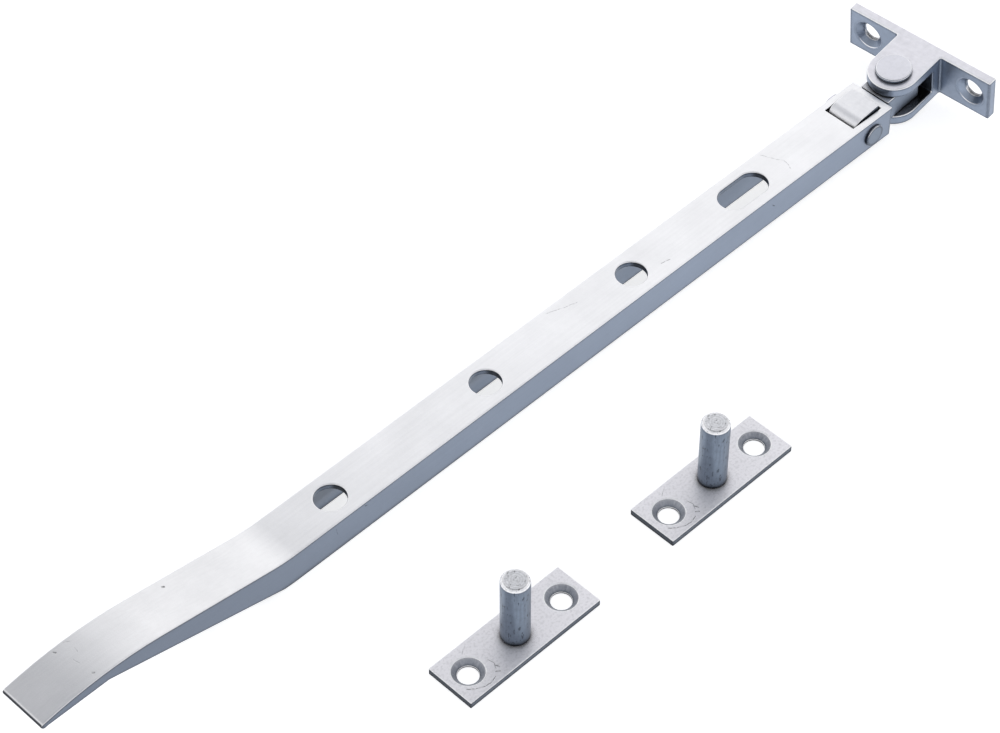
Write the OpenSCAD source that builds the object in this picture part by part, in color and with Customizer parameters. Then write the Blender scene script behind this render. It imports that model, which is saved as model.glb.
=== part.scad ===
// Casement stay with two peg plates, in satin aluminium, laid on a flat surface.
// The arm is a bent channel with peg holes. A knuckle turns on the arm rivet inside its end,
// and the screwed bracket turns on the pivot rivet at the knuckle's other end.
// X runs along the arm towards the bracket, Y across it and Z up, all in millimetres.
// The origin lies on that surface, under the middle of the whole set.

/* [Arm] */
// Length from the end of the tail to the bracket end of the channel
arm_len = 280; // [250:1:340]
// Width over the two flanges
arm_w = 13.5; // [12.5:0.1:16]
// Height from the flanges' lower edges to the top of the web
arm_h = 9.5; // [9.2:0.1:11]
// Thickness of the web
web_t = 1.8; // [1.4:0.1:2.1]
// Thickness of each flange
flange_t = 1.9; // [1.4:0.1:2]

/* [Tail] */
// Length of the cranked tail, from its end to the crank
tail_len = 70; // [62:1:80]
// Angle at which the tail climbs from the crank
crank_angle = 10.2; // [8:0.1:12]
// Bend radius of the crank, on top of the web
crank_r = 40; // [20:1:60]
// Length of the curved thumb grip at the end of the tail
grip_len = 34; // [28:1:40]
// Radius of the thumb grip, on top of the web
grip_r = 90; // [75:1:110]
// Height of the flanges' lower edge where they run out along the grip
runout_h = 14.1; // [13:0.1:14.6]
// Length of that level run-out
runout_len = 19; // [10:1:26]

/* [Peg holes] */
// Diameter of the peg holes and width of the slot
hole_d = 8; // [7:0.1:8.6]
// Number of round peg holes
hole_count = 3; // [1:1:3]
// Distance from the end of the tail to the first hole
first_hole = 90; // [84:1:96]
// Distance between peg holes
hole_pitch = 50; // [30:1:52]
// Distance from the last round hole to the middle of the slot
slot_step = 40.5; // [25:0.5:44]
// Overall length of the slot
slot_len = 15.3; // [12:0.1:20]

/* [Arm rivet] */
// Distance from the bracket end of the channel back to the rivet's axis
rivet_back = 7; // [6.6:0.1:7.6]
// Height of the rivet's axis above the flanges' lower edges
rivet_up = 4.5; // [4.3:0.1:5.6]
// Diameter of the rivet's shank
arm_rivet_d = 4; // [3:0.1:5]
// Diameter of its head, on the flange away from the peg plates
arm_rivet_head_d = 7.5; // [6:0.1:8]
// Thickness of that head
arm_rivet_head_t = 1.2; // [0.8:0.1:1.6]
// Diameter of its upset end, on the flange beside the peg plates
arm_rivet_end_d = 6; // [5.4:0.1:7.4]
// Thickness of that upset end
arm_rivet_end_t = 0.7; // [0.5:0.1:1.2]

/* [Window in the web] */
// Length of the window along the arm
window_len = 10.7; // [10:0.1:12]
// Width of the window
window_w = 9.5; // [8.5:0.1:10]
// Width of the strip of web left between the window and the end
end_strip = 2.3; // [1.8:0.1:2.6]

/* [Knuckle] */
// Distance from the arm rivet's axis to the pivot rivet's axis
pivot_reach = 15.7; // [15.5:0.1:20]
// Height of the hump's flat top over the arm rivet's axis
hump_h = 5.9; // [5.3:0.1:6.4]
// Radius that rounds the hump down to the nose
hump_round = 4; // [0.5:0.1:4.5]
// Distance from the pivot rivet's axis to the knuckle's square end
knuckle_back = 4.7; // [3.8:0.1:5.2]
// Side clearance between the hump and the window
side_gap = 0.2; // [0.1:0.05:0.4]
// Clearance round the strip of web where the knuckle swings past it
swing_gap = 0.25; // [0.15:0.05:0.4]
// Largest angle of the arm to the bracket, when it is lifted off a peg
lift_max = 25; // [15:1:28]

/* [Bracket] */
// Length of the screwed plate
plate_len = 45; // [40:0.5:60]
// Thickness of the screwed plate
plate_t = 2.8; // [2:0.1:5]
// Height of the plate, over both ears
bracket_h = 13.3; // [12.5:0.1:14.5]
// Width of the ears, whose ends are round
ear_w = 13.8; // [12:0.1:14.5]
// Thickness of each ear
ear_t = 3; // [2:0.1:3.2]
// Distance from the pivot rivet's axis to the front of the plate
ear_reach = 10.8; // [10.2:0.1:14]
// Distance from the pivot rivet's axis to the closed end of the gap between the ears
gap_reach = 7.6; // [7.2:0.1:9]
// Radius of the corners where the ears meet the plate and where their gap ends
ear_fillet = 0.5; // [0.3:0.1:1.2]
// Clearance between the knuckle and each ear
ear_gap = 0.1; // [0.05:0.05:0.2]
// Distance between the two screw holes
screw_pitch = 33; // [30:0.5:34]
// Diameter of the screw holes
screw_d = 5; // [4:0.1:5.5]
// Diameter of their countersinks at the face
sink_d = 8.6; // [7:0.1:9.5]

/* [Pivot rivet] */
// Diameter of the pivot rivet's shank
pivot_d = 5; // [4:0.1:5.5]
// Diameter of its flat upper head
pivot_head_d = 9.6; // [8:0.1:11]
// Thickness of its upper head
pivot_head_t = 1.2; // [0.8:0.1:2]
// Chamfer round the upper head
pivot_head_chamfer = 0.3; // [0.1:0.1:0.5]

/* [Peg plates] */
// Length of each peg plate
peg_plate_len = 41; // [38:0.5:60]
// Width of each peg plate
peg_plate_w = 13.5; // [11:0.5:18]
// Thickness of each peg plate
peg_plate_t = 1.9; // [1.8:0.1:4]
// Distance between the two screw holes of a peg plate
peg_screw_pitch = 29.5; // [26:0.5:31]
// Diameter of their countersinks at the face
peg_sink_d = 8; // [6.5:0.1:8.2]
// Diameter of each peg
peg_d = 7; // [6:0.1:7.8]
// Height of each peg above its plate
peg_h = 19.7; // [14:0.1:24]
// Chamfer round the top of each peg
peg_chamfer = 0.6; // [0.2:0.1:1.5]
// Diameter of the tenon that holds the peg in its plate
tenon_d = 5; // [3:0.1:5.5]

/* [Laid out] */
// Distance from the end of the tail to the peg near it
tail_peg_x = 96.5; // [60:0.5:110]
// Distance between the two pegs
peg_spacing = 65; // [62:1:90]
// Distance from the arm's centre line to the pegs
peg_y = 53.5; // [20:0.5:70]
// Angle at which the knuckle and the bracket stand up from the arm
bracket_lean = 6; // [0:0.1:10]
// Angle to which the bracket is turned on the pivot rivet
bracket_turn = 3.5; // [-30:0.5:30]

/* [Fits] */
// Clearance on the radius where the knuckle turns on a rivet
pin_gap = 0.05; // [0.02:0.01:0.1]
// Extra radius of a rivet's end that is spread flush in its countersink
flare = 1; // [0.4:0.1:1.2]

/* [Hidden] */
$fn = 96;

// Colours of the satin aluminium, lighter for the turned pieces
satin = [0.80, 0.81, 0.84];
turned = [0.88, 0.89, 0.91];
// How far a cut runs past the face it opens
past = 1;
// How far the tail's straight climb runs into the arcs at its two ends
lap = 0.02;

// Places along the arm
end_x = rivet_back;
tail_x = end_x - arm_len;
crank_x = tail_x + tail_len;
hole_xs = [for (i = [0 : hole_count - 1]) tail_x + first_hole + i * hole_pitch];
slot_x = hole_xs[hole_count - 1] + slot_step;
window_end = end_x - end_strip;
window_start = window_end - window_len;
peg_xs = [tail_x + tail_peg_x, tail_x + tail_peg_x + peg_spacing];

// The top of the web along the tail: the crank's bend, a straight climb, then the grip's arc
crank_centre = [crank_x + crank_r * tan(crank_angle / 2), arm_h + crank_r];
climb_start = crank_centre - crank_r * [sin(crank_angle), cos(crank_angle)];
climb_len = (climb_start[0] - tail_x - grip_len) / cos(crank_angle);
grip_start = climb_start + climb_len * [-cos(crank_angle), sin(crank_angle)];
grip_centre = grip_start - grip_r * [sin(crank_angle), cos(crank_angle)];
grip_fall = asin((grip_centre[0] - tail_x - web_t / 2) / grip_r);

// The knuckle, measured from the arm rivet's axis with the arm square to the bracket
web_low = arm_h - web_t - rivet_up;
web_high = arm_h - rivet_up;
knuckle_w = window_w - 2 * side_gap;
knuckle_h = bracket_h - 2 * ear_t - 2 * ear_gap;
nose_r = norm([window_start, web_low]) - swing_gap;
hump_end = window_end - side_gap / 2;
hump_centre = [-sqrt(max(0, pow(nose_r - hump_round, 2) - pow(hump_h - hump_round, 2))),
               hump_h - hump_round];
notch_in = norm([window_end, web_low]) - swing_gap;
notch_out = norm([end_x, web_high]) + swing_gap;
notch_floor = atan2(web_low, end_x) - lift_max - asin(swing_gap / norm([end_x, web_low]));

// The stay rests on the start of its crank and on the tip of the bracket's lower ear, so the arm
// tilts a little about that start
rest_x = crank_centre[0];
tip = [pivot_reach - ear_w / 2, -bracket_h / 2];
tip_x = tip[0] * cos(bracket_lean) - tip[1] * sin(bracket_lean);
tip_z = rivet_up + tip[0] * sin(bracket_lean) + tip[1] * cos(bracket_lean);
tilt = max(0, -atan2(tip_z, tip_x - rest_x));

// The middle of the set, from the tail to the bracket and from the peg plates to the bracket
plate_out = ear_reach + plate_t;
turned_x = plate_out * cos(bracket_turn) + plate_len / 2 * sin(abs(bracket_turn));
turned_y = plate_out * sin(abs(bracket_turn)) + plate_len / 2 * cos(bracket_turn);
bracket_end = (pivot_reach + turned_x) * cos(bracket_lean) + bracket_h / 2 * sin(bracket_lean);
middle = [(tail_x + bracket_end) / 2, (turned_y - peg_y - peg_plate_w / 2) / 2];

// A flat shape drawn in X and Z, made as wide as given across the arm
module across(width) {
    rotate([90, 0, 0])
        linear_extrude(width, center = true)
            children();
}

// Part of a flat ring between two radii and two angles
module ring_part(inner_r, outer_r, from, to) {
    reach = 2 * outer_r;
    intersection() {
        difference() {
            circle(r = outer_r);
            circle(r = inner_r);
        }
        polygon([[0, 0], reach * [cos(from), sin(from)], reach * [cos(to), sin(to)]]);
    }
}

// Side view of a strip of the given depth that hangs from the top line of the arm
module arm_strip(depth) {
    translate([crank_centre[0], arm_h - depth])
        square([end_x - crank_centre[0], depth]);
    translate(crank_centre)
        ring_part(crank_r, crank_r + depth, -90 - crank_angle, -90);
    translate(climb_start)
        rotate(180 - crank_angle)
            translate([-lap, 0])
                square([climb_len + 2 * lap, depth]);
    translate(grip_centre)
        ring_part(grip_r - depth, grip_r, 90 - crank_angle, 90 + grip_fall);
}

// Side view of a flange, whose lower edge rises along the tail until it meets the web
module flange_side() {
    difference() {
        arm_strip(arm_h);
        polygon([[tail_x - past, -past], [crank_x, -past], [crank_x, 0],
                 [tail_x + runout_len, runout_h], [tail_x - past, runout_h]]);
    }
}

// Side view of the rounded edge at the end of the tail
module tail_edge() {
    translate(grip_centre)
        rotate(grip_fall)
            translate([0, grip_r - web_t / 2])
                circle(d = web_t);
}

// A countersunk hole down from the origin, with its wide end up
module sunk_hole(hole, sink, depth) {
    translate([0, 0, -depth - past])
        cylinder(d = hole, h = depth + 2 * past);
    translate([0, 0, -(sink - hole) / 2])
        cylinder(d1 = hole, d2 = sink, h = (sink - hole) / 2);
}

// The end of a rivet or tenon that stands up from the origin, spread at 45 degrees at its foot
module flush_end(shank) {
    cylinder(d1 = shank + 2 * flare, d2 = shank, h = flare);
}

// A disc that stands on the origin, chamfered round its top
module chamfered_disc(diameter, height, chamfer) {
    cylinder(d = diameter, h = height - chamfer);
    translate([0, 0, height - chamfer])
        cylinder(d1 = diameter, d2 = diameter - 2 * chamfer, h = chamfer);
}

// Lays down a piece of the stay that is drawn with the arm level
module laid_down() {
    translate([rest_x - middle[0], -middle[1], 0])
        rotate([0, -tilt, 0])
            translate([-rest_x, 0, 0])
                children();
}

// Puts a piece drawn about a peg's axis beside the arm
module beside_arm(x) {
    translate([x - middle[0], -peg_y - middle[1], 0])
        children();
}

// Puts a piece drawn about the arm rivet's axis at the angle at which the knuckle leans
module on_arm_rivet() {
    laid_down()
        translate([0, 0, rivet_up])
            rotate([0, -bracket_lean, 0])
                children();
}

// Puts a piece drawn about the pivot rivet's axis where the bracket stands
module on_pivot() {
    on_arm_rivet()
        translate([pivot_reach, 0, 0])
            rotate([0, 0, bracket_turn])
                children();
}

// The arm: an inverted channel with peg holes, a slot, the window and holes for its rivet
module stay_arm() {
    color(satin)
        laid_down()
            difference() {
                union() {
                    across(arm_w) {
                        arm_strip(web_t);
                        tail_edge();
                    }
                    for (side = [-1, 1])
                        translate([0, side * (arm_w - flange_t) / 2, 0])
                            across(flange_t)
                                flange_side();
                }
                for (x = hole_xs)
                    translate([x, 0, arm_h - web_t - past])
                        cylinder(d = hole_d, h = web_t + 2 * past);
                slot();
                translate([window_start, -window_w / 2, arm_h - web_t - past])
                    cube([window_len, window_w, web_t + 2 * past]);
                translate([0, 0, rivet_up])
                    across(arm_w + 2 * past)
                        circle(d = arm_rivet_d);
            }
}

// The slot that lets the arm drop on a peg a little out of place
module slot() {
    straight = slot_len - hole_d;
    translate([slot_x, 0, arm_h - web_t - past])
        linear_extrude(web_t + 2 * past) {
            square([straight, hole_d], center = true);
            for (side = [-1, 1])
                translate([side * straight / 2, 0])
                    circle(d = hole_d);
        }
}

// The rivet that joins the arm to the knuckle, with its head on one flange and its end on the other
module arm_rivet() {
    color(turned)
        laid_down()
            translate([0, 0, rivet_up]) {
                across(arm_w)
                    circle(d = arm_rivet_d);
                translate([0, (arm_w + arm_rivet_head_t) / 2, 0])
                    across(arm_rivet_head_t)
                        circle(d = arm_rivet_head_d);
                translate([0, -(arm_w + arm_rivet_end_t) / 2, 0])
                    across(arm_rivet_end_t)
                        circle(d = arm_rivet_end_d);
            }
}

// Side view of the nose about the arm rivet and of the round by which the hump's top comes down to it
module nose() {
    far = 2 * nose_r;
    intersection() {
        circle(r = nose_r);
        polygon([[0, -knuckle_h / 2], [0, 0], far * hump_centre / norm(hump_centre), [-far, 0],
                 [-far, -knuckle_h / 2]]);
    }
    translate(hump_centre)
        circle(r = hump_round);
}

// Side view of the knuckle: a bar to the pivot, the nose round the arm rivet and the hump over it
module knuckle_side() {
    difference() {
        union() {
            translate([hump_centre[0], -knuckle_h / 2])
                square([pivot_reach + knuckle_back - hump_centre[0], knuckle_h]);
            translate([hump_centre[0], 0])
                square([hump_end - hump_centre[0], hump_h]);
            nose();
        }
        notch();
    }
}

// The notch that straddles the end strip of the web and stops the arm at both ends of its lift
module notch() {
    intersection() {
        ring_part(notch_in, notch_out, notch_floor, 60);
        translate([hump_end, -notch_out])
            square([notch_out, 2 * notch_out]);
    }
}

// The knuckle, square at the pivot and bored for both rivets
module knuckle() {
    color(satin)
        on_arm_rivet()
            difference() {
                across(knuckle_w)
                    knuckle_side();
                across(knuckle_w + 2 * past)
                    circle(d = arm_rivet_d + 2 * pin_gap);
                translate([pivot_reach, 0, 0])
                    cylinder(d = pivot_d + 2 * pin_gap, h = knuckle_h + 2 * past, center = true);
            }
}

// The rivet that joins the knuckle to the bracket: flat head above, spread flush below
module pivot_rivet() {
    color(turned)
        on_pivot()
            translate([0, 0, -bracket_h / 2]) {
                cylinder(d = pivot_d, h = bracket_h);
                flush_end(pivot_d);
                translate([0, 0, bracket_h])
                    chamfered_disc(pivot_head_d, pivot_head_t, pivot_head_chamfer);
            }
}

// The bracket seen from above: the round-ended ears, the plate and the fillets between them
module bracket_plan() {
    circle(d = ear_w);
    translate([0, -ear_w / 2])
        square([ear_reach + plate_t, ear_w]);
    translate([ear_reach, -plate_len / 2])
        square([plate_t, plate_len]);
    for (side = [0, 1])
        mirror([0, side])
            translate([ear_reach - ear_fillet, ear_w / 2])
                difference() {
                    square(ear_fillet);
                    translate([0, ear_fillet])
                        circle(r = ear_fillet);
                }
}

// Side view of the gap between the ears, rounded at its closed end
module ear_gap_side() {
    half = bracket_h / 2 - ear_t;
    translate([-ear_w, -half])
        square([ear_w + gap_reach - ear_fillet, 2 * half]);
    translate([-ear_w, ear_fillet - half])
        square([ear_w + gap_reach, 2 * (half - ear_fillet)]);
    for (side = [-1, 1])
        translate([gap_reach - ear_fillet, side * (half - ear_fillet)])
            circle(r = ear_fillet);
}

// The bracket: one piece with two ears and a plate that screws to the window
module bracket() {
    color(satin)
        on_pivot()
            difference() {
                linear_extrude(bracket_h, center = true)
                    bracket_plan();
                across(ear_w + 2 * past)
                    ear_gap_side();
                cylinder(d = pivot_d, h = bracket_h + 2 * past, center = true);
                translate([0, 0, -bracket_h / 2])
                    flush_end(pivot_d);
                for (side = [-1, 1])
                    translate([ear_reach, side * screw_pitch / 2, 0])
                        rotate([0, -90, 0])
                            sunk_hole(screw_d, sink_d, plate_t);
            }
}

// A peg plate about its peg's axis, with two countersunk screw holes
module peg_plate(x) {
    color(satin)
        beside_arm(x)
            difference() {
                translate([-peg_plate_len / 2, -peg_plate_w / 2, 0])
                    cube([peg_plate_len, peg_plate_w, peg_plate_t]);
                for (side = [-1, 1])
                    translate([side * peg_screw_pitch / 2, 0, peg_plate_t])
                        sunk_hole(screw_d, peg_sink_d, peg_plate_t);
                translate([0, 0, -past])
                    cylinder(d = tenon_d, h = peg_plate_t + 2 * past);
                flush_end(tenon_d);
            }
}

// A peg with its tenon, spread flush under the plate
module peg(x) {
    color(turned)
        beside_arm(x) {
            cylinder(d = tenon_d, h = peg_plate_t);
            flush_end(tenon_d);
            translate([0, 0, peg_plate_t])
                chamfered_disc(peg_d, peg_h, peg_chamfer);
        }
}

stay_arm();
arm_rivet();
knuckle();
pivot_rivet();
bracket();
peg_plate(peg_xs[0]);  // peg_plate_1
peg(peg_xs[0]);  // peg_1
peg_plate(peg_xs[1]);  // peg_plate_2
peg(peg_xs[1]);  // peg_2
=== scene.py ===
# %% [markdown]
# # A casement stay in satin aluminium
# A casement stay holds a side-hung window open. Its long arm is a bent channel with holes that drop
# over a peg on the sill. A knuckle and a screwed bracket join the arm to the window. Two loose peg
# plates lie beside it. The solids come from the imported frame, so every size is already right. This
# file adds what a solid lacks: softened edges, the anodised finish and its small marks, light and
# a camera.

# %% Load the frame
import math

import bmesh
import bpy
from mathutils import Matrix, Vector


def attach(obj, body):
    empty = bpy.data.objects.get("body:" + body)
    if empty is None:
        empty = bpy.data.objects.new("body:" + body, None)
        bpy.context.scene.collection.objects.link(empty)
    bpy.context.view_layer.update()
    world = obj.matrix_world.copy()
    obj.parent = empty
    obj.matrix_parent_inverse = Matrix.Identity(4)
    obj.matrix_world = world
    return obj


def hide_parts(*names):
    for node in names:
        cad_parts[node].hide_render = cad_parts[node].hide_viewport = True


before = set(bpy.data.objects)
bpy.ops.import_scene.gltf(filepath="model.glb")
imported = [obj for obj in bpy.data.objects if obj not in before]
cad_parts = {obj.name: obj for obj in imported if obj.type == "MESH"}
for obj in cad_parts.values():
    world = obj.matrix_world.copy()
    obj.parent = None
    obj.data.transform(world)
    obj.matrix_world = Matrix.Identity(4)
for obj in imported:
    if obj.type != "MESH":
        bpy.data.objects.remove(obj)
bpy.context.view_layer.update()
scene = bpy.context.scene
mm = 0.001
print("nodes:", ", ".join(sorted(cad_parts)))

# %% [markdown]
# ## The camera
# The photograph was taken from well above, over the tail end of the arm, with a long lens. A camera
# can be placed by eye, or worked out from edges whose real lengths are known. Here the edges of the
# channel, its holes and the corners of the bracket gave the place, the lens and a small roll.

# %% The camera
camera_place = Vector((-0.35834, -0.33707, 0.56486))
camera_aim = Vector((0.00005, 0.02595, 0.0))
camera_roll = math.radians(-0.162)

lens = bpy.data.cameras.new("studio_camera")
lens.sensor_width = 36
lens.lens = 113.145
camera = bpy.data.objects.new("studio_camera", lens)
look = (camera_aim - camera_place).to_track_quat("-Z", "Y").to_matrix().to_4x4()
camera.matrix_world = Matrix.Translation(camera_place) @ look @ Matrix.Rotation(camera_roll, 4, "Z")
scene.collection.objects.link(camera)
scene.camera = camera
print("camera to aim:", round((camera_aim - camera_place).length / mm), "mm")

# %% [markdown]
# ## Two small helpers
# Colours are easiest to pick as the hex values that a screen shows, but a renderer counts light in
# linear values, so one function turns the first into the second. A second function adds a node to
# a material, sets it and links it in one line, which keeps each recipe short enough to read.


# %% Helpers for colour and nodes
def linear(hex_colour):
    """A hex colour as linear values."""
    values = [int(hex_colour[i:i + 2], 16) / 255 for i in (1, 3, 5)]
    return [v / 12.92 if v <= 0.04045 else ((v + 0.055) / 1.055) ** 2.4 for v in values] + [1.0]


def add(tree, kind, links=None, settings=None, **attributes):
    """Adds a node. links maps an input to an output socket, settings an input to a value."""
    node = tree.nodes.new(kind)
    for name, value in attributes.items():
        setattr(node, name, value)
    for name, value in (settings or {}).items():
        node.inputs[name].default_value = value
    for name, socket in (links or {}).items():
        tree.links.new(socket, node.inputs[name])
    return node


print("a mid grey of #808080 is", round(linear("#808080")[0], 3), "in linear light")

# %% [markdown]
# ## Light
# Satin metal is a blurred mirror, so what it faces matters more than how strong a lamp is. One big
# soft box overhead would be simple, but it makes every face equally bright. Here the room is a
# bright ring of walls round a darker ceiling. Seen from the camera, the flat tops mirror the walls
# and come out nearly white. The thumb grip tips towards the ceiling and turns grey, as it does in
# the photograph. A weak lamp adds direction, so that the pieces throw a soft shadow.

# %% The sky
walls_end, ceiling_start, ceiling_level = 0.70, 0.95, 0.32
world = bpy.data.worlds.new("studio_sky")
world.use_nodes = True
scene.world = world
sky = world.node_tree
sky.nodes.clear()
direction = add(sky, "ShaderNodeTexCoord")
height = add(sky, "ShaderNodeSeparateXYZ", {0: direction.outputs["Generated"]})
level = add(sky, "ShaderNodeMapRange", {"Value": height.outputs["Z"]},
            {"From Min": walls_end, "From Max": ceiling_start,
             "To Min": 1.0, "To Max": ceiling_level}, interpolation_type="SMOOTHSTEP")
tint = add(sky, "ShaderNodeMix", {"Factor": level.outputs["Result"]},
           {"A": linear("#dbe3f2"), "B": linear("#fcfcfe")}, data_type="RGBA")
room = add(sky, "ShaderNodeBackground",
           {"Color": tint.outputs["Result"], "Strength": level.outputs["Result"]})
add(sky, "ShaderNodeOutputWorld", {"Surface": room.outputs["Background"]})
print("walls end at", round(math.degrees(math.asin(walls_end))), "degrees above the horizon")

# %% The lamp
lamp_data = bpy.data.lights.new("soft_lamp", "AREA")
lamp_data.shape = "RECTANGLE"
lamp_data.size = 0.6
lamp_data.size_y = 0.6
lamp_data.energy = 0.3
lamp = bpy.data.objects.new("soft_lamp", lamp_data)
lamp.location = (0.55, 0.45, 0.75)
lamp.rotation_euler = (-lamp.location).to_track_quat("-Z", "Y").to_euler()
scene.collection.objects.link(lamp)
print("lamp at", [round(v, 2) for v in lamp.location])

# %% [markdown]
# ## The floor
# The pieces lie on a plain white sheet. Paper under studio light photographs as pure white while
# it still holds a faint shadow. A little light of the sheet's own, seen by the camera and by
# reflections alone, lifts it to white without lighting the object any more.

# %% The floor
reach = 1.5
corners = [(-reach, -reach, 0), (reach, -reach, 0), (reach, reach, 0), (-reach, reach, 0)]
floor_mesh = bpy.data.meshes.new("floor")
floor_mesh.from_pydata(corners, [], [(0, 1, 2, 3)])
floor = bpy.data.objects.new("floor", floor_mesh)
scene.collection.objects.link(floor)

own_strength = 0.72
paper = bpy.data.materials.new("white_paper")
paper.use_nodes = True
tree = paper.node_tree
tree.nodes.clear()
sheet = add(tree, "ShaderNodeBsdfDiffuse", settings={"Color": linear("#cfd0d3")})
ray = add(tree, "ShaderNodeLightPath").outputs
seen = add(tree, "ShaderNodeMath", {0: ray["Is Camera Ray"], 1: ray["Is Glossy Ray"]},
           operation="MAXIMUM")
seen = add(tree, "ShaderNodeMath", {0: seen.outputs[0], 1: ray["Is Transmission Ray"]},
           operation="MAXIMUM")
lift = add(tree, "ShaderNodeMath", {0: seen.outputs[0]}, {1: own_strength}, operation="MULTIPLY")
own_light = add(tree, "ShaderNodeEmission", {"Strength": lift.outputs[0]})
both = add(tree, "ShaderNodeAddShader", {0: sheet.outputs[0], 1: own_light.outputs[0]})
add(tree, "ShaderNodeOutputMaterial", {"Surface": both.outputs[0]})
floor_mesh.materials.append(paper)
print("floor:", 2 * reach, "m wide, own light", own_strength)

# %% [markdown]
# ## Small marks
# The photograph shows a used piece: a hair-like scratch near the slot, pits in the thumb grip, and
# scratches round one screw hole of each peg plate. Such marks could be painted in a picture, but
# then they only fit one size. Here each is a short line between two points in millimetres, and the
# material works out how far every spot lies from it. A little noise bends and breaks the line.


# %% Marks as lines
# How coarse the bends and the worn gaps are, and how far a line is bent, in mm.
bend_size, wear_size, bend_by = 1.5, 0.6, 0.5


def highest(tree, sockets):
    """The largest of some values."""
    top = sockets[0]
    for socket in sockets[1:]:
        top = add(tree, "ShaderNodeMath", {0: top, 1: socket}, operation="MAXIMUM").outputs[0]
    return top


def stroke(tree, place, start, end, width):
    """A mask that is 1 along the line between two points, given in mm."""
    start, end = Vector(start) * mm, Vector(end) * mm
    run = end - start
    middle, turn = ((start + end) / 2).to_3d(), (0, 0, math.atan2(run.y, run.x))
    half_size = ((run.length + width * mm) / 2, width * mm / 2, 1)
    local = add(tree, "ShaderNodeMapping", {"Vector": place},
                {"Location": middle, "Rotation": turn, "Scale": half_size}, vector_type="TEXTURE")
    size = add(tree, "ShaderNodeVectorMath", {0: local.outputs[0]}, operation="ABSOLUTE")
    size = add(tree, "ShaderNodeSeparateXYZ", {0: size.outputs[0]})
    along = add(tree, "ShaderNodeMapRange", {"Value": size.outputs["X"]},
                {"From Min": 0.7, "From Max": 1.0, "To Min": 1, "To Max": 0})
    across = add(tree, "ShaderNodeMapRange", {"Value": size.outputs["Y"]},
                 {"From Min": 0.3, "From Max": 1.0, "To Min": 1, "To Max": 0})
    return add(tree, "ShaderNodeMath", {0: along.outputs[0], 1: across.outputs[0]},
               operation="MULTIPLY").outputs[0]


def marks(tree, place, faces, lines):
    """All lines of a list, each a width in mm, a depth and its points, on the faces of a mask."""
    bend = add(tree, "ShaderNodeTexNoise", {"Vector": place},
               {"Scale": 1 / (bend_size * mm), "Detail": 2})
    bend = add(tree, "ShaderNodeVectorMath", {0: bend.outputs["Color"]}, {1: (0.5, 0.5, 0.5)},
               operation="SUBTRACT")
    bend = add(tree, "ShaderNodeVectorMath", {0: bend.outputs[0]}, {"Scale": bend_by * mm},
               operation="SCALE")
    bent = add(tree, "ShaderNodeVectorMath", {0: place, 1: bend.outputs[0]},
               operation="ADD").outputs[0]
    strokes = []
    for width, depth, points in lines:
        for start, end in zip(points, points[1:]):
            line = stroke(tree, bent, start, end, width)
            strokes.append(add(tree, "ShaderNodeMath", {0: line}, {1: depth},
                               operation="MULTIPLY").outputs[0])
    worn = add(tree, "ShaderNodeTexNoise", {"Vector": place},
               {"Scale": 1 / (wear_size * mm), "Detail": 1})
    worn = add(tree, "ShaderNodeMapRange", {"Value": worn.outputs["Fac"]},
               {"From Min": 0.35, "From Max": 0.55, "To Min": 0.4})
    broken = add(tree, "ShaderNodeMath", {0: highest(tree, strokes), 1: worn.outputs[0]},
                 operation="MULTIPLY")
    return add(tree, "ShaderNodeMath", {0: broken.outputs[0], 1: faces},
               operation="MULTIPLY").outputs[0]


arm_marks = [
    (0.35, 0.5, [(90.9, 24.0), (91.8, 21.5), (93.6, 18.4), (93.4, 16.9), (92.6, 15.4)]),
    (0.40, 0.6, [(45.2, 15.7), (48.3, 15.1)]),
    (0.30, 0.5, [(13.5, 24.0), (17.7, 22.4), (21.9, 21.1)]),
    (0.80, 1.0, [(-108.5, 22.9), (-108.3, 22.8)]),
    (0.60, 0.7, [(-138.3, 24.0), (-138.1, 23.7)]), (0.60, 0.7, [(-135.9, 13.9), (-135.6, 13.6)]),
    (0.35, 0.4, [(-134.3, 21.9), (-134.6, 20.4)]), (0.35, 0.4, [(-136.5, 19.6), (-136.2, 17.7)]),
    (0.30, 0.5, [(-135.3, 24.6), (-133.6, 23.6)])]
side_marks = [
    (0.50, 0.9, [(-57.6, 8.5), (-56.8, 8.1)]), (0.35, 0.5, [(-66.7, 8.0), (-66.2, 5.4)]),
    (0.40, 0.9, [(81.9, 7.6), (83.1, 6.5)]), (0.30, 0.4, [(19.0, 9.0), (27.5, 9.2)])]
plate_marks = [
    (0.35, 0.8, [(-18.6, -3.2), (-16.9, -4.6), (-14.8, -5.7), (-12.7, -5.7), (-11.2, -5.2)]),
    (0.45, 0.8, [(-9.2, -3.1), (-8.9, -4.0)]), (0.45, 0.8, [(-10.4, -4.3), (-9.6, -5.0)]),
    (0.30, 0.6, [(-9.4, -0.6), (-9.0, -2.4), (-9.9, -3.9)]),
    (0.30, 0.5, [(-12.6, 4.3), (-10.2, 5.6)])]
print("marks:", len(arm_marks) + len(side_marks), "on the arm,", len(plate_marks), "on each plate")
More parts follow.
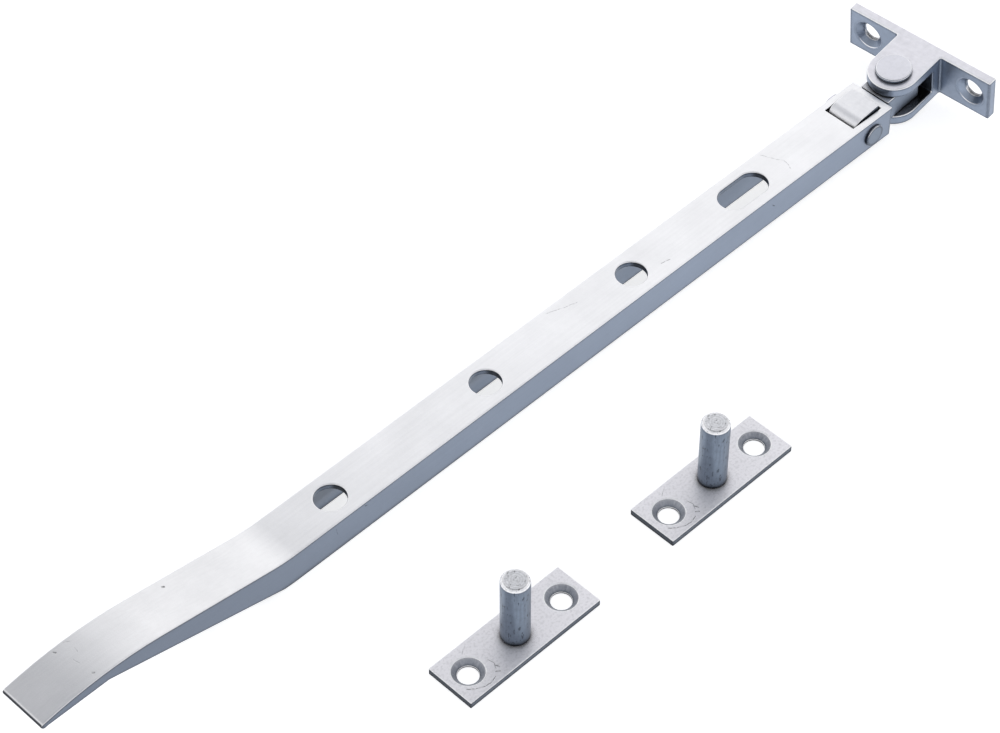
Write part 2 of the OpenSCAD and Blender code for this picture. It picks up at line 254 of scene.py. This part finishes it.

# %% [markdown]
# ## Satin anodised aluminium
# The pieces are cut from aluminium, linished along their length, etched to a satin and anodised.
# The faces that look up were linished, and get a painted light tone, near white. The sides get a
# painted shade of darker blue grey, with a painted dark line beside each edge. The rounded edges
# that look up get a painted highlight, almost white, all as the photograph shows. One material
# does it: it reads which way a face looks and blends the tones. Over that lie a cloudy drift of
# tone, the long fine lines of the belt, and a frost of fine bumps. The frost is drawn 0.3 mm
# across, coarser than the real one, so that it shows at all. Painted shade in the joints is read
# from how closed in a spot is. It gives the dark lines that set the pieces apart.


# %% Patterns
def noise(tree, place, size_mm, low, high, detail=3):
    """Noise between two values. Its grain has the given size in mm along X, Y and Z."""
    scaled = times(tree, place, tuple(1 / (v * mm) for v in size_mm))
    texture = add(tree, "ShaderNodeTexNoise", {"Vector": scaled}, {"Scale": 1, "Detail": detail})
    return add(tree, "ShaderNodeMapRange", {"Value": texture.outputs["Fac"]},
               {"From Min": 0.3, "From Max": 0.7, "To Min": low, "To Max": high}).outputs[0]


def ramp(tree, value, start, end, low, high):
    """Turns a value into another that runs smoothly from low at start to high at end."""
    return add(tree, "ShaderNodeMapRange", {"Value": value},
               {"From Min": start, "From Max": end, "To Min": low, "To Max": high},
               interpolation_type="SMOOTHSTEP").outputs[0]


def times(tree, first, second):
    """The product of two sockets, or of a socket and a plain vector."""
    links, settings = {0: first, 1: second}, {}
    if isinstance(second, tuple):
        links, settings = {0: first}, {1: second}
    return add(tree, "ShaderNodeVectorMath", links, settings, operation="MULTIPLY").outputs[0]


def size_of(tree, value):
    """A value without its sign."""
    return add(tree, "ShaderNodeMath", {0: value}, operation="ABSOLUTE").outputs[0]


# %% [markdown]
# ## What only some pieces have
# Painted shade darkens the arm towards the tail, on the sides more than on the top. The walls of
# its punched holes, the window and the sawn end get painted shade too, nearly black where they
# look along the arm. The ends of the peg plates are darker than their sides. The pegs were turned,
# so their end faces carry fine rings inside a rim with a painted highlight, and a tumbling barrel
# left small dark dents. Painted masks could give all this, but a place and a direction are enough
# to find most of these faces. lit_edge gives a mask, and the functions that name a painted shade,
# a finish or a wear give a tone that multiplies the colour.


# %% Tones of single pieces
# Places in the frame, in mm: the arm's middle line, how far to each side of it the punched walls
# are shaded, a line just short of the tail's sawn end, and a line within the near flange.
arm_middle = 18.48
punched_reach = 4.6
sawn_end = -151
near_flange = arm_middle - 6


def axis(tree, place, name):
    """The X, Y or Z of a place."""
    return add(tree, "ShaderNodeSeparateXYZ", {0: place}).outputs[name]


def tail_shade(tree, place, facing):
    """Painted shade: the arm's tone falls towards the tail."""
    along = axis(tree, place, "X")
    level = ramp(tree, size_of(tree, facing["Z"]), 0.4, 0.85, 0, 1)
    side = ramp(tree, along, -190 * mm, 60 * mm, 0.58, 1.0)
    top = ramp(tree, along, -105 * mm, -45 * mm, 0.90, 1.0)
    return add(tree, "ShaderNodeMix", {"Factor": level, "A": side, "B": top}).outputs["Result"]


def cut_wall_shade(tree, place, facing):
    """Painted shade on the faces of the arm that a punch or a saw left."""
    across = add(tree, "ShaderNodeMath", {0: axis(tree, place, "Y")}, {1: arm_middle * mm},
                 operation="SUBTRACT").outputs[0]
    inside = ramp(tree, size_of(tree, across),
                  punched_reach * mm, (punched_reach + 0.1) * mm, 1, 0)
    end = ramp(tree, axis(tree, place, "X"), sawn_end * mm, (sawn_end + 1) * mm, 1, 0)
    lengthways = ramp(tree, size_of(tree, facing["X"]), 0.5, 0.95, 0, 1)
    cut = add(tree, "ShaderNodeMath", {0: highest(tree, [inside, end]), 1: lengthways},
              operation="MULTIPLY").outputs[0]
    return ramp(tree, cut, 0, 1, 1, 0.16)


def darker_ends(tree, place, facing):
    """The darker ends of a peg plate, and a light speckle over all of it."""
    ends = ramp(tree, size_of(tree, facing["X"]), 0.8, 0.98, 1, 0.5)
    speckle = ramp(tree, noise(tree, place, (0.6, 0.6, 0.6), 0, 1), 0.6, 1, 1, 0.9)
    return times(tree, ends, speckle)


def rings(tree, place, facing):
    """Turning rings on the end face, which is a little darker than its rim."""
    ring_mm = 0.6
    round_axis = times(tree, place, (1, 1, 0))
    away = add(tree, "ShaderNodeVectorMath", {0: round_axis}, operation="LENGTH").outputs["Value"]
    turns = add(tree, "ShaderNodeMath", {0: away}, {1: math.tau / (ring_mm * mm)},
                operation="MULTIPLY")
    wave = add(tree, "ShaderNodeMath", {0: turns.outputs[0]}, operation="SINE").outputs[0]
    cut = ramp(tree, wave, -1, 1, 0.76, 0.88)
    flat = ramp(tree, facing["Z"], 0.85, 0.97, 0, 1)
    return add(tree, "ShaderNodeMix", {"Factor": flat, "B": cut}, {"A": 1.0}).outputs["Result"]


def dents(tree, place, facing):
    """Small dark dents, longer than wide, where a coarse noise peaks."""
    peaks = noise(tree, place, (0.7, 0.7, 2.0), 0, 1, detail=4)
    return ramp(tree, peaks, 0.72, 0.95, 1, 0.4)


def gap_shade(tree, place, facing):
    """Painted shade: the black between the bracket's ears, where its own walls close a spot in."""
    sight_mm = 14
    openness = add(tree, "ShaderNodeAmbientOcclusion", settings={"Distance": sight_mm * mm},
                   samples=6, only_local=True).outputs["AO"]
    level = ramp(tree, size_of(tree, facing["Z"]), 0.4, 0.85, 0, 1)
    walls = ramp(tree, openness, 0.22, 0.62, 0.03, 1)
    ears = ramp(tree, openness, 0.6, 0.97, 0.05, 1)
    return add(tree, "ShaderNodeMix", {"Factor": level, "A": walls, "B": ears}).outputs["Result"]


def lit_edge(tree, facing):
    """A mask of the rounded edges that look up, which get a painted highlight."""
    rounded = add(tree, "ShaderNodeAttribute", attribute_name="rounded").outputs["Fac"]
    upwards = ramp(tree, facing["Z"], 0.25, 0.5, 0, 1)
    return add(tree, "ShaderNodeMath", {0: rounded, 1: upwards}, operation="MULTIPLY").outputs[0]


def edge_shade_line(tree, level):
    """Painted shade: a thin dark line beside an edge on the faces that look sideways."""
    beside_mm = 1.2
    averaged = add(tree, "ShaderNodeBevel", settings={"Radius": beside_mm * mm},
                   samples=6).outputs[0]
    plain = add(tree, "ShaderNodeNewGeometry").outputs["Normal"]
    match = add(tree, "ShaderNodeVectorMath", {0: averaged, 1: plain},
                operation="DOT_PRODUCT").outputs["Value"]
    dark = ramp(tree, match, 0.965, 0.992, 0.35, 1)
    return add(tree, "ShaderNodeMix", {"Factor": level, "A": dark}, {"B": 1.0}).outputs["Result"]


# %% The satin finish
# Sizes in mm of the cloudy drift, of the frost and of the slow change in sheen.
drift_mm, frost_mm, sheen_mm = (16, 16, 16), (0.3, 0.3, 0.3), (9, 9, 9)
sheen_change = 0.03
# The colour of the painted highlight on rounded edges that look up.
edge_highlight = "#fdfdfe"
# How dark full painted shade and a full scratch are, and how deep a scratch is beside the frost.
full_shade_tone, scratch_tone, scratch_depth = 0.04, 0.25, -4


def all_marks(tree, place, facing, lines, side_lines):
    """The marks on the faces that look up, and those on the arm's near side."""
    found = marks(tree, place, ramp(tree, facing["Z"], 0.6, 0.8, 0, 1), lines)
    if not side_lines:
        return found
    near = ramp(tree, facing["Y"], -0.8, -0.9, 0, 1)
    outside = ramp(tree, axis(tree, place, "Y"), near_flange * mm, (near_flange + 1) * mm, 1, 0)
    near = add(tree, "ShaderNodeMath", {0: near, 1: outside}, operation="MULTIPLY").outputs[0]
    sideways = add(tree, "ShaderNodeCombineXYZ",
                   {"X": axis(tree, place, "X"), "Y": axis(tree, place, "Z")}).outputs[0]
    return highest(tree, [found, marks(tree, sideways, near, side_lines)])


def satin(name, top, side, roughness, belt_mm, mottle=(1.1, 0.03), streak=0.015, tilt=(0.4, 0.85),
          crevice_shade=(3, 0.35, 0.8), extras=(), lines=(), side_lines=(), at=(0, 0)):
    """Aluminium in two tones, top for the faces that look up or down and side for the rest.

    belt_mm is the size of the belt's lines along X, Y and Z, and streak their contrast. mottle is
    the size in mm and the contrast of the fine mottling. tilt says between which slopes the side
    tone turns into the top tone. grime sets the painted shade in crevices: its reach in mm and the
    two levels of openness between which it fades. extras are functions from the cell above. at is
    the place in mm that marks and rings are measured from.
    """
    material = bpy.data.materials.new(name)
    material.use_nodes = True
    tree = material.node_tree
    tree.nodes.clear()
    coords = add(tree, "ShaderNodeTexCoord").outputs
    place = add(tree, "ShaderNodeVectorMath", {0: coords["Object"]},
                {1: (at[0] * mm, at[1] * mm, 0)}, operation="SUBTRACT").outputs[0]
    facing = add(tree, "ShaderNodeSeparateXYZ", {0: coords["Normal"]}).outputs
    # Painted light and shade: a light top tone, a darker side tone and a painted edge highlight.
    lit = lit_edge(tree, facing)
    level = highest(tree, [ramp(tree, size_of(tree, facing["Z"]), *tilt, 0, 1), lit])
    tone = add(tree, "ShaderNodeMix", {"Factor": level}, {"A": linear(side), "B": linear(top)},
               data_type="RGBA").outputs["Result"]
    tone = add(tree, "ShaderNodeMix", {"Factor": lit, "A": tone}, {"B": linear(edge_highlight)},
               data_type="RGBA").outputs["Result"]
    belt = noise(tree, place, belt_mm, 0, 1)
    # Painted shade in crevices: the more closed in a spot is, the darker it gets.
    shade_reach_mm, shade_full, shade_gone = crevice_shade
    openness = add(tree, "ShaderNodeAmbientOcclusion", settings={"Distance": shade_reach_mm * mm},
                   samples=6).outputs["AO"]
    grain_mm, contrast = mottle
    # Layers of the tone: drift, mottling, belt lines, painted crevice shade, painted edge line.
    layers = [noise(tree, place, drift_mm, 0.96, 1.02),
              noise(tree, place, (grain_mm, grain_mm, grain_mm), 1 - contrast, 1 + contrast),
              ramp(tree, belt, 0, 1, 1 - streak, 1 + streak),
              ramp(tree, openness, shade_full, shade_gone, full_shade_tone, 1),
              edge_shade_line(tree, level)]
    layers += [extra(tree, place, facing) for extra in extras]
    relief = add(tree, "ShaderNodeMath", {0: belt, 1: noise(tree, place, frost_mm, 0, 1)},
                 operation="ADD").outputs[0]
    if lines:
        scratched = all_marks(tree, place, facing, lines, side_lines)
        layers.append(ramp(tree, scratched, 0, 1, 1, scratch_tone))
        relief = add(tree, "ShaderNodeMath", {0: scratched, 2: relief}, {1: scratch_depth},
                     operation="MULTIPLY_ADD").outputs[0]
    for layer in layers:
        tone = times(tree, tone, layer)
    bump = add(tree, "ShaderNodeBump", {"Height": relief}, {"Strength": 0.3, "Distance": 0.02 * mm})
    rough = noise(tree, place, sheen_mm, roughness - sheen_change, roughness + sheen_change)
    shader = add(tree, "ShaderNodeBsdfPrincipled",
                 {"Base Color": tone, "Roughness": rough, "Normal": bump.outputs["Normal"]},
                 {"Metallic": 1.0})
    add(tree, "ShaderNodeOutputMaterial", {"Surface": shader.outputs["BSDF"]})
    return material


# Belt-linished channel, etched and anodised: long faint lines and a top painted almost white.
arm_finish = satin("satin_anodised_arm", "#f3f3f4", "#8b96a7", 0.35, (30, 0.5, 0.5), (1.1, 0.012),
                   extras=(tail_shade, cut_wall_shade), lines=arm_marks, side_lines=side_marks)
# The same finish on a small block, linished across the arm: a plain soft sheen.
knuckle_finish = satin("satin_anodised_knuckle", "#fafafc", "#8f9aaa", 0.44, (0.7, 15, 0.7),
                       tilt=(0.3, 0.6))
# Extruded and sawn bracket, linished along its plate: a cloudier grey, with painted
# shade between the ears.
bracket_finish = satin("satin_anodised_bracket", "#ecebf0", "#8f9aab", 0.38, (0.7, 15, 0.7),
                       (1.4, 0.05), tilt=(0.7, 0.95), crevice_shade=(3, 0.2, 0.6), extras=(gap_shade,))
# Rivet heads, turned and pressed: an even sheen with no lines.
rivet_finish = satin("turned_aluminium_rivet", "#e7e7ed", "#808b9a", 0.36, (0.6, 0.6, 0.6),
                     tilt=(0.5, 0.95), crevice_shade=(1.5, 0.45, 0.9))
peg_row = -35.02
plate_finishes, peg_finishes = [], []
for number, column in (("1", -55.59), ("2", 9.41)):
    # Punched plates, blasted before the anodising: duller and speckled, with no clear reflections.
    plate_finishes.append(satin(
        "blasted_anodised_plate_" + number, "#f7f6f9", "#757d89", 0.57, (20, 0.5, 0.5), (0.6, 0.11),
        tilt=(0.6, 0.95), extras=(darker_ends,), lines=plate_marks, at=(column, peg_row)))
    # Pegs turned from bar and tumbled: a rim with a painted highlight, streaks and small dark dents.
    peg_finishes.append(satin(
        "turned_aluminium_peg_" + number, "#eeeff2", "#768190", 0.4, (0.5, 0.5, 8), (1.1, 0.08),
        streak=0.08, tilt=(0.3, 0.6), crevice_shade=(3, 0.45, 0.9), extras=(rings, dents),
        at=(column, peg_row)))
single_finishes = [arm_finish, knuckle_finish, bracket_finish, rivet_finish]
print("finishes:", len(single_finishes + plate_finishes + peg_finishes))

# %% [markdown]
# ## Softened edges
# No real edge is perfectly sharp, and on metal the narrow round along each edge is what catches
# the light. The solids have sharp edges, so each piece is copied, its flat faces are joined again
# and the edges are rounded by a fraction of a millimetre. The bevel could hold its width back where
# edges lie close, but it then narrows every edge of the piece alike, to almost nothing on the arm.
# So it runs without that, at widths that fit, and the printed volumes show that each piece lost a
# little. The edges in one small box stay sharp. On the underside of the arm, the window comes
# within a hair of the channel's inner walls and leaves no room for a round, and the lower edge at
# the end of the web lies in the same box.


# %% Round the edges
weld_mm = 0.004
flat_angle, sharp_angle = math.radians(0.5), math.radians(30)


def between(vertex, low_corner, high_corner):
    """Whether a vertex lies in the box between two corners, given in mm."""
    return all(low <= value / mm <= high
               for low, value, high in zip(low_corner, vertex.co, high_corner))


def soften(node, body, finish, round_mm, stay_sharp=None):
    """A copy of a node with rounded edges, which a face attribute marks for the finish.

    stay_sharp holds the corners of a box, and the edges inside it are left as they are.
    """
    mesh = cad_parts[node].data.copy()
    piece = bpy.data.objects.new(node + "_finished", mesh)
    scene.collection.objects.link(piece)
    work = bmesh.new()
    work.from_mesh(mesh)
    bmesh.ops.remove_doubles(work, verts=work.verts, dist=weld_mm * mm)
    bmesh.ops.dissolve_limit(work, angle_limit=flat_angle, verts=work.verts, edges=work.edges)
    before = work.calc_volume()
    rounded = work.faces.layers.float.new("rounded")
    sharp = [e for e in work.edges if e.is_convex and e.calc_face_angle() > sharp_angle]
    if stay_sharp:
        sharp = [e for e in sharp if not all(between(v, *stay_sharp) for v in e.verts)]
    made = bmesh.ops.bevel(work, geom=sharp, offset=round_mm * mm, offset_type="OFFSET", segments=3,
                           profile=0.5, affect="EDGES", clamp_overlap=False, loop_slide=False)
    for face in made["faces"]:
        face[rounded] = 1.0
    print(node, "rounded by", round_mm, "mm, volume", round(before / mm ** 3, 1), "to",
          round(work.calc_volume() / mm ** 3, 1), "mm3")
    work.to_mesh(mesh)
    work.free()
    mesh.materials.clear()
    mesh.materials.append(finish)
    mesh.shade_smooth()
    flat = piece.modifiers.new("flat_faces", "WEIGHTED_NORMAL")
    flat.weight = 100
    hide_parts(node)
    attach(piece, body)
    return piece


# Two corners, in mm, of the box round the window's lower rim and the end of the web.
window_rim = ((114, 12, 8.5), (128.2, 25, 9.3))
pieces = [
    soften("stay_arm", "arm", arm_finish, 0.3, window_rim),
    soften("arm_rivet", "arm", rivet_finish, 0.12),
    soften("knuckle", "knuckle", knuckle_finish, 0.25),
    soften("pivot_rivet", "bracket", rivet_finish, 0.1),
    soften("bracket", "bracket", bracket_finish, 0.35)]
for number, plate_finish, peg_finish in zip("12", plate_finishes, peg_finishes):
    pieces.append(soften("peg_plate_" + number, "arm", plate_finish, 0.18))
    pieces.append(soften("peg_" + number, "arm", peg_finish, 0.3))
print(len(pieces), "pieces,", sum(len(piece.data.polygons) for piece in pieces), "faces")

# %% [markdown]
# ## Finish
# The picture is shown as it was lit, with no tone curve.

# %% Finish
scene.view_settings.view_transform = "Standard"
